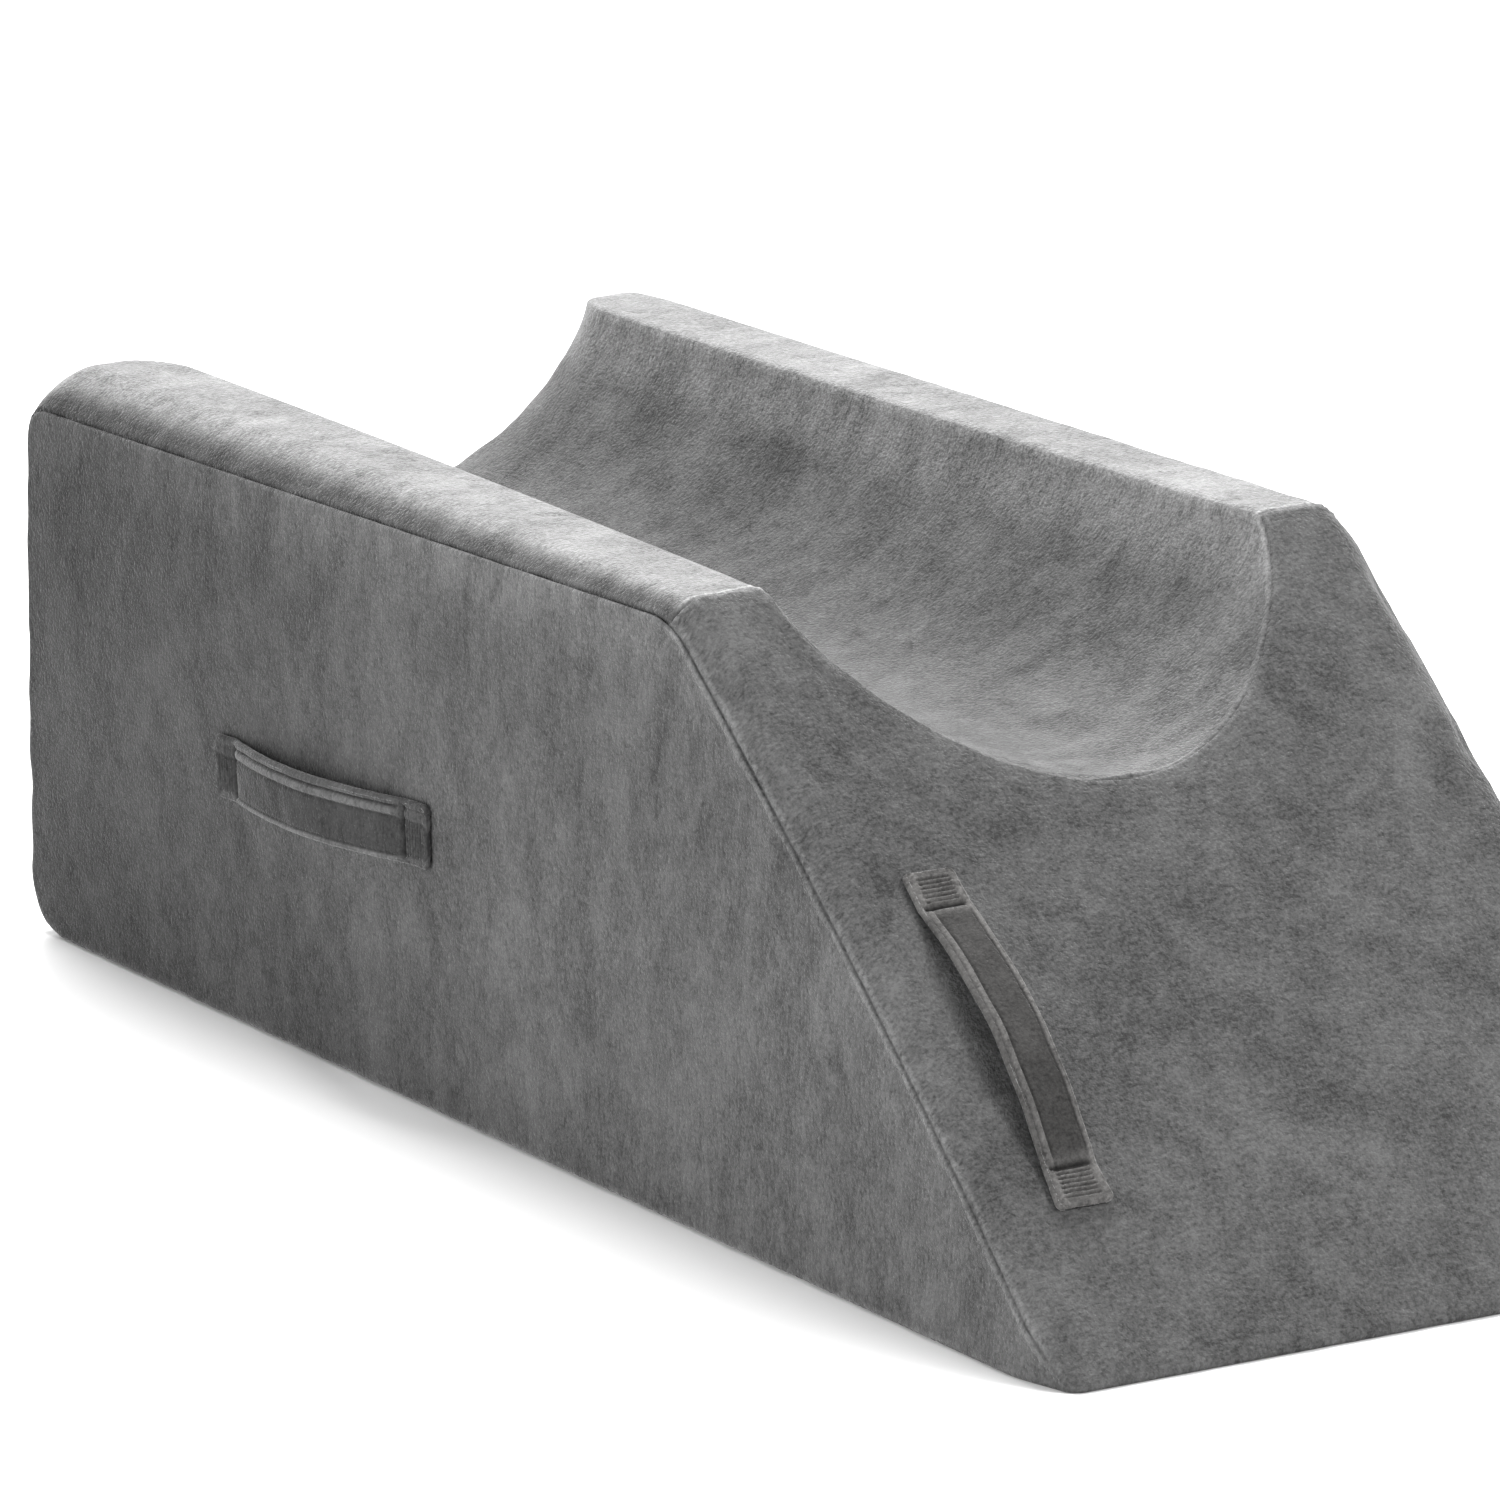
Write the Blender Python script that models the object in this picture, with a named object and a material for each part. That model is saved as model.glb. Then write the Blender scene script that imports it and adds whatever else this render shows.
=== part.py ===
"""Single-leg elevation pillow: a long foam wedge in a sewn plush cover, lying on its flat base.

The leg lies in a channel along the top, open at the foot end and at the knee end, where the
top breaks into a ramp that runs down to the floor. Two folded-strip carry handles are sewn
on: one across the near side panel, one down the ramp. Metres, +Z up. The origin is the
centre of the base, +X points to the knee end and -Y to the side that carries the handle.
"""

import math

import bmesh
import bpy
from mathutils import Vector
from mathutils.bvhtree import BVHTree

# Driving sizes of the stuffed cover
LENGTH = 0.610  # foot end's seams to the toe of the ramp
WIDTH = 0.244
TOP_LENGTH = 0.396  # foot end to the ramp's top edge
KNEE_SEAM_HEIGHT = 0.1865  # side seam above the floor at the ramp's top edge
FOOT_SEAM_HEIGHT = 0.1743  # side seam above the floor at the foot end
RAMP_SEAM_RUN = 0.2125  # side seam of the ramp, from its top to the floor
RAMP_SEAM_BOW = 0.0045  # how far that seam bows out at its middle

# Rounding of the side panel's four corners, seen from the side
FOOT_BOTTOM_RADIUS = 0.022
FOOT_TOP_RADIUS = 0.012
KNEE_TOP_RADIUS = 0.028
TOE_RADIUS = 0.0012

# How far each panel stands proud of the seams round it
SIDE_CROWN = 0.0035
SEAM_DRAW_IN = 0.0012  # upper side seams, in from the base's edge
KNEE_WALL_CROWN = 0.0062
FOOT_WALL_CROWN = 0.0135
RAMP_CROWN = 0.0060
FOOT_CROWN = 0.0020
BASE_LIFT = 0.0006  # side seam above the floor
KNEE_ROLL = 0.011  # width over which the top rolls up from a side seam
FOOT_ROLL = 0.021
TOE_ROLL = 0.005
ROLL_POWER = 0.8  # under 1, a roll starts steeply at its seam
CROWN_POWER = 0.45  # the lower, the flatter a panel's middle and the steeper its rim

# The two walls beside the channel
KNEE_WALL_WIDTH = 0.031
FOOT_WALL_WIDTH = 0.0435
LIP_DROP = 0.0004  # edge of the channel, below the wall's crest
LIP_BLEND = 0.0030  # softness of that edge
WALL_TAPER = 1.7  # 1 is an even taper between the two widths
MOUTH_FLARE = 0.013  # how much a wall narrows at the channel's mouth
MOUTH_LENGTH = 0.030
FOOT_DROP = 0.0015  # how far the top rounds down at the foot end

# The channel, measured down from the side seam's height
KNEE_CHANNEL_DEPTH = 0.0510
FOOT_CHANNEL_DEPTH = 0.044
CHANNEL_POWER = 0.71  # 0.5 is an ellipse, 1 a parabola

# The cover's lower corners at the ramp's toe are pulled inwards
TOE_DRAW_IN = 0.0050
TOE_DRAW_LENGTH = 0.028

# Carry handles: a strip folded to a flat tube, sewn down at a ribbed tab at each end
HANDLE_WIDTH = 0.0195
HANDLE_THICKNESS = 0.0026
HANDLE_TAB_LENGTH = 0.0125
HANDLE_TAB_FLARE = 0.0012  # extra half width at a tab's free end
HANDLE_TAB_THICKNESS = 0.0012  # pressed flat by the stitching
HANDLE_EDGE_ROUNDING = 0.45  # share of the thickness lost at the long edges
HANDLE_GAP = 0.0075  # between the arch and the panel, at mid length
HANDLE_SEAT = 0.0003  # between a tab and the panel
RIB_COUNT = 6
RIB_HEIGHT = 0.0006
SIDE_HANDLE_LENGTH = 0.130
SIDE_HANDLE_CENTRE = (-0.1065, 0.0862)  # x and z on the side panel
RAMP_HANDLE_LENGTH = 0.1185
RAMP_HANDLE_DOWN = 0.1672  # its middle, down the ramp from the top edge
RAMP_HANDLE_ACROSS = -0.0860  # its middle, y

# Mesh steps
LENGTH_STEPS = 26
WALL_STEPS = (0.0, 0.05, 0.12, 0.22, 0.36, 0.55, 0.8, 0.95, 1.0)  # shares of a wall's width
CHANNEL_STEPS = (0.03, 0.08, 0.16, 0.27, 0.42, 0.6, 0.8, 1.0)  # from the lip to the middle
LIP_SHARE = 0.16  # where the lip falls in the share across
HEIGHT_STEPS = 10
STEP_CROWDING = 0.62  # how much the steps crowd towards the seams
ARC_STEPS = 8
BOW_STEPS = 60
ARCH_STEPS = 20
RIB_STEPS = 2 * RIB_COUNT
HANDLE_WIDTH_STEPS = 6

COVER_GREY = (0.135, 0.135, 0.137, 1.0)
HANDLE_GREY = (0.120, 0.119, 0.118, 1.0)
PLUSH_ROUGHNESS = 0.9
CREASE_ANGLE = math.radians(40)

HALF_LENGTH = LENGTH / 2
HALF_WIDTH = WIDTH / 2
RAMP_ANGLE = math.atan2(KNEE_SEAM_HEIGHT, RAMP_SEAM_RUN)
RAMP_NORMAL = Vector((math.sin(RAMP_ANGLE), 0.0, math.cos(RAMP_ANGLE)))
RAMP_DOWN = Vector((math.cos(RAMP_ANGLE), 0.0, -math.sin(RAMP_ANGLE)))


def clear_scene():
    for obj in list(bpy.data.objects):
        bpy.data.objects.remove(obj, do_unlink=True)


def plush_material(name, colour):
    material = bpy.data.materials.new(name)
    material.use_nodes = True
    shader = material.node_tree.nodes["Principled BSDF"]
    shader.inputs["Base Color"].default_value = colour
    shader.inputs["Roughness"].default_value = PLUSH_ROUGHNESS
    shader.inputs["Metallic"].default_value = 0.0
    return material


def smooth_step(value):
    value = min(max(value, 0.0), 1.0)
    return value * value * (3.0 - 2.0 * value)


def crowded_step(index, steps):
    """Share of the way along an edge, with steps that crowd towards both ends."""
    t = index / steps
    return t - STEP_CROWDING * math.sin(2 * math.pi * t) / (2 * math.pi)


def width_shares():
    """Shares across the cover, with steps at each channel lip and close beside it."""
    half = [LIP_SHARE * step for step in WALL_STEPS]
    half += [LIP_SHARE + (0.5 - LIP_SHARE) * step for step in CHANNEL_STEPS]
    return half + [1.0 - share for share in half[-2::-1]]


def puff(share):
    """0 on a seam and 1 over most of a panel, rising steeply beside the seam."""
    return max(4.0 * share * (1.0 - share), 0.0) ** CROWN_POWER


def roll_up(inset, width):
    """0 on a side seam, 1 once the panel beside it has rolled up to its full height."""
    return math.sin(0.5 * math.pi * min(inset / width, 1.0)) ** ROLL_POWER


def between(foot_value, knee_value, along):
    return foot_value + (knee_value - foot_value) * along


def outline_corners():
    """Corners of the side panel in x and z, from the foot end's bottom anticlockwise."""
    foot = -HALF_LENGTH
    ramp_top = -HALF_LENGTH + TOP_LENGTH
    toe = ramp_top + RAMP_SEAM_RUN * (1.0 - BASE_LIFT / KNEE_SEAM_HEIGHT)
    return [
        (Vector((foot, BASE_LIFT)), FOOT_BOTTOM_RADIUS),
        (Vector((toe, BASE_LIFT)), TOE_RADIUS),
        (Vector((ramp_top, KNEE_SEAM_HEIGHT)), KNEE_TOP_RADIUS),
        (Vector((foot, FOOT_SEAM_HEIGHT)), FOOT_TOP_RADIUS),
    ]


def half_arc(corner, radius, towards, away):
    """Points from the middle of a corner's rounding to where the edge goes straight."""
    one = (towards - corner).normalized()
    other = (away - corner).normalized()
    half_angle = one.angle(other) / 2
    centre = corner + (one + other).normalized() * (radius / math.sin(half_angle))
    to_middle = corner - centre
    to_tangent = corner + one * (radius / math.tan(half_angle)) - centre
    shares = [i / ARC_STEPS for i in range(ARC_STEPS + 1)]
    return [centre + to_middle.slerp(to_tangent, s).normalized() * radius for s in shares]


def outline_side(index):
    """One side of the outline, from the middle of one corner's rounding to the next's."""
    corners = outline_corners()
    before = corners[index - 1][0]
    start, start_radius = corners[index]
    end, end_radius = corners[(index + 1) % 4]
    after = corners[(index + 2) % 4][0]
    first = half_arc(start, start_radius, end, before)
    last = half_arc(end, end_radius, start, after)
    return first + last[::-1]


def point_along(points, share):
    """The point at a share of a polyline's length."""
    lengths = [(b - a).length for a, b in zip(points, points[1:])]
    left = share * sum(lengths)
    for a, b, length in zip(points, points[1:], lengths):
        if left <= length:
            return a.lerp(b, left / length)
        left -= length
    return points[-1].copy()


def bowed(points):
    """An edge of the outline pushed out into a shallow bow."""
    span = points[-1] - points[0]
    out = Vector((span.y, -span.x)).normalized() * RAMP_SEAM_BOW
    shares = [i / BOW_STEPS for i in range(BOW_STEPS + 1)]
    return [point_along(points, s) + out * (4.0 * s * (1.0 - s)) for s in shares]


BASE_EDGE = outline_side(0)
RAMP_EDGE = bowed(outline_side(1))
TOP_EDGE = outline_side(2)[::-1]
TOP_CORNERS = [corner for corner, radius in outline_corners()[3:1:-1]]
FOOT_EDGE = outline_side(3)[::-1]


def coons(a, c, low, high, start, end):
    """Blends four edge curves into a patch; low and high run with a, start and end with c."""
    ruled = low(a).lerp(high(a), c) + start(c).lerp(end(c), a)
    corners = low(0).lerp(low(1), a).lerp(high(0).lerp(high(1), a), c)
    return ruled - corners


def side_point(a, c):
    """Side panel in x and z: a runs to the knee end, c upwards."""
    return coons(
        a,
        c,
        lambda s: point_along(BASE_EDGE, s),
        lambda s: point_along(TOP_EDGE, s),
        lambda s: point_along(FOOT_EDGE, s),
        lambda s: point_along(RAMP_EDGE, s),
    )


def seam_y(x, z):
    """Half width at the side seams, drawn in at the toe of the ramp."""
    near_toe = smooth_step((x - HALF_LENGTH + TOE_DRAW_LENGTH) / TOE_DRAW_LENGTH)
    low_down = 1.0 - smooth_step(z / TOE_DRAW_LENGTH)
    return HALF_WIDTH - SEAM_DRAW_IN * (1.0 - low_down) - TOE_DRAW_IN * near_toe * low_down


def wall_width(along):
    """Width of a wall's top, from its side seam to the channel's lip."""
    mouth = max(1.0 - along * TOP_LENGTH / MOUTH_LENGTH, 0.0)
    return between(FOOT_WALL_WIDTH, KNEE_WALL_WIDTH, along ** WALL_TAPER) - MOUTH_FLARE * mouth ** 2


def top_height(inset, along):
    """Height above the side seam at a distance in from it; along is 0 at the foot end."""
    wall = wall_width(along)
    depth = between(FOOT_CHANNEL_DEPTH, KNEE_CHANNEL_DEPTH, along)
    crown = between(FOOT_WALL_CROWN, KNEE_WALL_CROWN, along)
    rolled = roll_up(inset, between(FOOT_ROLL, KNEE_ROLL, along))
    lip = crown - LIP_DROP
    across = (HALF_WIDTH - inset) / (HALF_WIDTH - wall)
    if across >= 1.0:
        channel = lip + (across - 1.0) * (HALF_WIDTH - wall)
    else:
        channel = lip - (depth + lip) * (1.0 - across * across) ** CHANNEL_POWER
    crest = crown * rolled
    overlap = max(LIP_BLEND - abs(crest - channel), 0.0) / LIP_BLEND
    drop = FOOT_DROP * max(1.0 - along * TOP_LENGTH / MOUTH_LENGTH, 0.0) ** 2
    return min(crest, channel) - (overlap * overlap * LIP_BLEND / 4 + drop) * rolled


def top_point(a, b):
    """Top panel with its walls and channel: a runs to the knee end, b across."""
    seam = point_along(TOP_EDGE, a)
    share = (seam.x - TOP_EDGE[0].x) / (TOP_EDGE[-1].x - TOP_EDGE[0].x)
    half = seam_y(seam.x, seam.y)
    wall = wall_width(share)
    from_side = min(b, 1.0 - b)
    if from_side < LIP_SHARE:
        inset = wall * from_side / LIP_SHARE
    else:
        inset = wall + (half - wall) * (from_side - LIP_SHARE) / (0.5 - LIP_SHARE)
    y = inset - half if b < 0.5 else half - inset
    rolled = roll_up(inset, KNEE_ROLL)
    rise = top_height(inset, 1.0)
    reach = (RAMP_CROWN * rolled - rise * math.cos(RAMP_ANGLE)) / math.sin(RAMP_ANGLE)
    flat = TOP_CORNERS[0].lerp(TOP_CORNERS[1], share)
    flat = seam.lerp(flat, rolled * share)
    return Vector((flat.x + reach * share, y, flat.y + top_height(inset, share)))


def base_point(a, b):
    """Base panel: flat on the floor, curling up to the seams round it."""
    seam = point_along(BASE_EDGE, a)
    half = seam_y(seam.x, seam.y)
    inset = half - abs(2.0 * b - 1.0) * half
    curl = BASE_LIFT * max(1.0 - inset / (2.0 * BASE_LIFT), 0.0) ** 2
    toe = BASE_EDGE[-1]
    x = seam.x + (HALF_LENGTH - toe.x) * roll_up(inset, TOE_ROLL) * a ** 4
    return Vector((x, (2.0 * b - 1.0) * half, seam.y - BASE_LIFT + curl))


def end_point(b, c, edge, a):
    """Foot panel or ramp, stretched between its four edges: b runs across, c upwards."""
    def seam_point(s, sign):
        seam = point_along(edge, s)
        return Vector((seam.x, sign * seam_y(seam.x, seam.y), seam.y))

    return coons(
        b,
        c,
        lambda s: base_point(a, s),
        lambda s: top_point(a, s),
        lambda s: seam_point(s, -1.0),
        lambda s: seam_point(s, 1.0),
    )


def cover_point(a, b, c):
    """Moves a point on the faces of the unit cube to its place on the stuffed cover."""
    if c <= 0.0:
        return base_point(a, b)
    if c >= 1.0:
        return top_point(a, b)
    if a <= 0.0:
        return end_point(b, c, FOOT_EDGE, 0.0) - Vector((FOOT_CROWN * puff(b) * puff(c), 0.0, 0.0))
    if a >= 1.0:
        return end_point(b, c, RAMP_EDGE, 1.0)
    flat = side_point(a, c)
    half = seam_y(flat.x, flat.y) + SIDE_CROWN * puff(a) * puff(c)
    return Vector((flat.x, half if b >= 0.5 else -half, flat.y))


def gridded_cube(steps):
    """A unit cube from the primitive, cut into steps along x, y and z."""
    mesh = bmesh.new()
    bmesh.ops.create_cube(mesh, size=1.0)
    bmesh.ops.translate(mesh, verts=mesh.verts, vec=(0.5, 0.5, 0.5))
    for axis, count in enumerate(steps):
        along = [
            e for e in mesh.edges if abs((e.verts[0].co - e.verts[1].co)[axis]) > 1e-6
        ]
        bmesh.ops.subdivide_edges(mesh, edges=along, cuts=count - 1, use_grid_fill=True)
    return mesh


def object_from(mesh, name, material, collection):
    bmesh.ops.recalc_face_normals(mesh, faces=mesh.faces)
    data = bpy.data.meshes.new(name)
    mesh.to_mesh(data)
    mesh.free()
    data.materials.append(material)
    data.shade_smooth()
    data.set_sharp_from_angle(angle=CREASE_ANGLE)
    obj = bpy.data.objects.new(name, data)
    collection.objects.link(obj)
    return obj


def make_cushion(collection):
    """The filled cover: six panels that meet at twelve seams, the edges of the cube."""
    shares = (
        [crowded_step(i, LENGTH_STEPS) for i in range(LENGTH_STEPS + 1)],
        width_shares(),
        [crowded_step(i, HEIGHT_STEPS) for i in range(HEIGHT_STEPS + 1)],
    )
    counts = [len(along_axis) - 1 for along_axis in shares]
    mesh = gridded_cube(counts)
    for vert in mesh.verts:
        steps = [round(value * count) for value, count in zip(vert.co, counts)]
        vert.co = cover_point(*[along[step] for along, step in zip(shares, steps)])
    material = plush_material("cover_plush", COVER_GREY)
    return object_from(mesh, "cushion", material, collection)


def handle_section(s, length):
    """Underside lift, thickness and half width at a distance along the handle."""
    to_end = min(s, length - s)
    if to_end >= HANDLE_TAB_LENGTH:
        arch = (s - HANDLE_TAB_LENGTH) / (length - 2 * HANDLE_TAB_LENGTH)
        full = smooth_step((to_end - HANDLE_TAB_LENGTH) / HANDLE_TAB_LENGTH)
        thickness = HANDLE_TAB_THICKNESS + (HANDLE_THICKNESS - HANDLE_TAB_THICKNESS) * full
        lift = HANDLE_GAP * math.sin(math.pi * min(max(arch, 0.0), 1.0))
        return lift, thickness, HANDLE_WIDTH / 2
    phase = to_end / HANDLE_TAB_LENGTH
    rib = RIB_HEIGHT * 0.5 * (1.0 - math.cos(2 * math.pi * RIB_COUNT * phase))
    half_width = HANDLE_WIDTH / 2 + HANDLE_TAB_FLARE * (1.0 - phase)
    return 0.0, HANDLE_TAB_THICKNESS + rib, half_width


def handle_stations(length):
    tab = [HANDLE_TAB_LENGTH * i / RIB_STEPS for i in range(RIB_STEPS)]
    arch = length - 2 * HANDLE_TAB_LENGTH
    middle = [HANDLE_TAB_LENGTH + arch * i / ARCH_STEPS for i in range(ARCH_STEPS + 1)]
    return tab + middle + [length - s for s in tab[::-1]]


def make_handle(name, length, centre, along, across, normal, panel, collection):
    """A folded strip that arches over the panel between its two sewn-down tabs."""
    stations = handle_stations(length)
    steps = (len(stations) - 1, HANDLE_WIDTH_STEPS, 1)
    mesh = gridded_cube(steps)
    for vert in mesh.verts:
        s = stations[round(vert.co.x * steps[0])]
        t = 2.0 * vert.co.y - 1.0
        lift, thickness, half_width = handle_section(s, length)
        above = centre + along * (s - length / 2) + across * (t * half_width)
        seat = panel.ray_cast(above + normal * HALF_WIDTH, -normal)[0]
        rounding = 1.0 - HANDLE_EDGE_ROUNDING * t ** 4
        height = HANDLE_SEAT + lift + (thickness * rounding if vert.co.z > 0.5 else 0.0)
        vert.co = seat + normal * height
    material = plush_material(name + "_plush", HANDLE_GREY)
    return object_from(mesh, name, material, collection)


def main():
    clear_scene()
    collection = bpy.data.collections.new("leg_elevation_pillow")
    bpy.context.scene.collection.children.link(collection)
    cushion = make_cushion(collection)
    bpy.context.view_layer.update()
    panel = BVHTree.FromObject(cushion, bpy.context.evaluated_depsgraph_get())

    x, z = SIDE_HANDLE_CENTRE
    make_handle(
        "side_handle",
        SIDE_HANDLE_LENGTH,
        Vector((x, -HALF_WIDTH, z)),
        Vector((1.0, 0.0, 0.0)),
        Vector((0.0, 0.0, 1.0)),
        Vector((0.0, -1.0, 0.0)),
        panel,
        collection,
    )
    ramp_top = Vector((-HALF_LENGTH + TOP_LENGTH, RAMP_HANDLE_ACROSS, KNEE_SEAM_HEIGHT))
    make_handle(
        "ramp_handle",
        RAMP_HANDLE_LENGTH,
        ramp_top + RAMP_DOWN * RAMP_HANDLE_DOWN,
        RAMP_DOWN,
        Vector((0.0, 1.0, 0.0)),
        RAMP_NORMAL,
        panel,
        collection,
    )


main()
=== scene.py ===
import math

import bmesh
import bpy
import numpy as np
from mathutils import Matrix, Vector, kdtree, noise
from mathutils.bvhtree import BVHTree


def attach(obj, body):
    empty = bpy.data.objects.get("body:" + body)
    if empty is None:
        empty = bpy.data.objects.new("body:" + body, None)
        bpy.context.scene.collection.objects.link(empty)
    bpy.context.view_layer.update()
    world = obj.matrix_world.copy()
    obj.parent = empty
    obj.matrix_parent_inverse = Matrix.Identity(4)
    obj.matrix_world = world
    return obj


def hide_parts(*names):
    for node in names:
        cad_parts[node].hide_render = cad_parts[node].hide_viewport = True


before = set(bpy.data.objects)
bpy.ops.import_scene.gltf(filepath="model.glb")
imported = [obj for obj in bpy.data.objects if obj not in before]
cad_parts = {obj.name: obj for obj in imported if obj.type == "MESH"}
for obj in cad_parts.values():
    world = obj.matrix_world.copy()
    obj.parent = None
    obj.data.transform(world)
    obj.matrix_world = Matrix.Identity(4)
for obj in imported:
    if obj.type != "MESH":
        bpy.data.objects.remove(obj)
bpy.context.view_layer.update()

# Camera: a long lens a little above the pillow, looking past the ramp's near corner along
# the wedge towards its foot end, so that the near side panel and the ramp both show.
CAMERA_PLACE = (3.332018, -2.119564, 1.136417)
CAMERA_TURN = 1.011935  # radians round the vertical, from looking along +Y
CAMERA_DIP = 0.254424  # radians below the horizon
CAMERA_LENS = 315.58  # mm, on a 36 mm sensor

camera_data = bpy.data.cameras.new("camera")
camera_data.lens = CAMERA_LENS
camera_data.sensor_width = 36.0
camera_data.clip_start = 0.1
camera_data.clip_end = 100.0
camera = bpy.data.objects.new("camera", camera_data)
camera.location = CAMERA_PLACE
camera.rotation_euler = (math.pi / 2 - CAMERA_DIP, 0.0, CAMERA_TURN)
bpy.context.scene.collection.objects.link(camera)
bpy.context.scene.camera = camera

# Floor: a plain matt white table top, wide enough that no view sees its edge.
FLOOR_SIZE = 60.0
FLOOR_WHITE = (0.80, 0.80, 0.80, 1.0)

floor_mesh = bmesh.new()
bmesh.ops.create_grid(floor_mesh, x_segments=2, y_segments=2, size=FLOOR_SIZE / 2)
floor_data = bpy.data.meshes.new("floor")
floor_mesh.to_mesh(floor_data)
floor_mesh.free()
floor_paint = bpy.data.materials.new("floor_white")
floor_paint.use_nodes = True
floor_shader = floor_paint.node_tree.nodes["Principled BSDF"]
floor_shader.inputs["Base Color"].default_value = FLOOR_WHITE
floor_shader.inputs["Roughness"].default_value = 1.0
floor_shader.inputs["Specular IOR Level"].default_value = 0.0
floor_data.materials.append(floor_paint)
floor = bpy.data.objects.new("floor", floor_data)
bpy.context.scene.collection.objects.link(floor)

# Light: a white room, a soft box high beyond the foot end that whitens the floor, a lower
# one that rakes over the tops of the walls, and two small ones for the side and the ramp.
ROOM_WHITE = 0.55
TOP_BOX_PLACE = (-2.4, 0.9, 4.6)
TOP_BOX_SIZE = 2.4
TOP_BOX_POWER = 500.0
RAKE_BOX_PLACE = (-4.0, 2.5, 1.7)
RAKE_BOX_SIZE = 2.0
RAKE_BOX_POWER = 330.0
SIDE_BOX_PLACE = (0.3, -0.9, 0.25)
SIDE_BOX_SIZE = 0.4
SIDE_BOX_POWER = 6.0
RAMP_BOX_PLACE = (1.25, 0.8, 0.9)
RAMP_BOX_SIZE = 0.4
RAMP_BOX_POWER = 16.0
MIDDLE_AIM = (0.0, 0.0, 0.1)
SIDE_AIM = (0.1, 0.0, 0.1)
RAMP_AIM = (0.2, 0.0, 0.1)

bpy.context.scene.view_settings.view_transform = "Standard"
room = bpy.data.worlds.new("room")
room.use_nodes = True
room.node_tree.nodes["Background"].inputs["Color"].default_value = (1.0, 1.0, 1.0, 1.0)
room.node_tree.nodes["Background"].inputs["Strength"].default_value = ROOM_WHITE
bpy.context.scene.world = room


def soft_box(name, place, aim, size, power):
    """A square area light at a place, turned to face the point aimed at."""
    light = bpy.data.lights.new(name, "AREA")
    light.shape = "SQUARE"
    light.size = size
    light.energy = power
    lamp = bpy.data.objects.new(name, light)
    lamp.location = place
    lamp.rotation_euler = (Vector(aim) - Vector(place)).to_track_quat("-Z", "Y").to_euler()
    lamp.visible_camera = False
    bpy.context.scene.collection.objects.link(lamp)


soft_box("top_box", TOP_BOX_PLACE, MIDDLE_AIM, TOP_BOX_SIZE, TOP_BOX_POWER)
soft_box("rake_box", RAKE_BOX_PLACE, MIDDLE_AIM, RAKE_BOX_SIZE, RAKE_BOX_POWER)
soft_box("side_box", SIDE_BOX_PLACE, SIDE_AIM, SIDE_BOX_SIZE, SIDE_BOX_POWER)
soft_box("ramp_box", RAMP_BOX_PLACE, RAMP_AIM, RAMP_BOX_SIZE, RAMP_BOX_POWER)

# Cover: a foam wedge in a tight cover of short-pile plush, cut as two side panels, a top
# that dips into a long channel, a ramp, a foot panel and a base, and sewn along its twelve
# edges. The unit cube's faces are the panels and its edges are the seams.
LENGTH = 0.610
WIDTH = 0.244
TOP_LENGTH = 0.396
KNEE_SEAM_HEIGHT = 0.1865
FOOT_SEAM_HEIGHT = 0.1743
RAMP_SEAM_RUN = 0.2125
RAMP_SEAM_BOW = 0.0045
FOOT_BOTTOM_RADIUS = 0.022
FOOT_TOP_RADIUS = 0.012
KNEE_TOP_RADIUS = 0.028
TOE_RADIUS = 0.0012
SIDE_CROWN = 0.0035
SEAM_DRAW_IN = 0.0012
KNEE_WALL_CROWN = 0.0062
FOOT_WALL_CROWN = 0.0135
RAMP_CROWN = 0.0060
FOOT_CROWN = 0.0020
BASE_LIFT = 0.0006
KNEE_ROLL = 0.011
FOOT_ROLL = 0.021
TOE_ROLL = 0.005
ROLL_POWER = 0.8
CROWN_POWER = 0.45
KNEE_WALL_WIDTH = 0.031
FOOT_WALL_WIDTH = 0.0435
LIP_DROP = 0.0004
LIP_BLEND = 0.0030
WALL_TAPER = 1.7
MOUTH_FLARE = 0.013
MOUTH_LENGTH = 0.030
FOOT_DROP = 0.0015
KNEE_CHANNEL_DEPTH = 0.0510
FOOT_CHANNEL_DEPTH = 0.044
CHANNEL_POWER = 0.71
TOE_DRAW_IN = 0.0050
TOE_DRAW_LENGTH = 0.028
TOE_POWER = 4
HALF_LENGTH = LENGTH / 2
HALF_WIDTH = WIDTH / 2
RAMP_ANGLE = math.atan2(KNEE_SEAM_HEIGHT, RAMP_SEAM_RUN)
ARC_STEPS = 24
BOW_STEPS = 200
LIP_SHARE = 0.16  # of the unit cube's width, for the top of one wall


def smooth_step(value):
    """0 for a value up to 0, 1 for one past 1, and eased between them."""
    value = np.clip(value, 0.0, 1.0)
    return value * value * (3.0 - 2.0 * value)


def puff(share):
    """0 on a seam and 1 over most of a panel, rising steeply beside the seam."""
    return np.maximum(4.0 * share * (1.0 - share), 0.0) ** CROWN_POWER


def roll_up(inset, width):
    """0 on a side seam, 1 once the panel beside it has rolled up to its full height."""
    return np.sin(0.5 * np.pi * np.clip(inset / width, 0.0, 1.0)) ** ROLL_POWER


def half_arc(corner, radius, towards, away):
    """Points from the middle of a corner's rounding to where the edge goes straight."""
    one = (towards - corner).normalized()
    other = (away - corner).normalized()
    half_angle = one.angle(other) / 2
    centre = corner + (one + other).normalized() * (radius / math.sin(half_angle))
    to_middle = corner - centre
    to_tangent = corner + one * (radius / math.tan(half_angle)) - centre
    shares = [i / ARC_STEPS for i in range(ARC_STEPS + 1)]
    return [centre + to_middle.slerp(to_tangent, s).normalized() * radius for s in shares]


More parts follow.
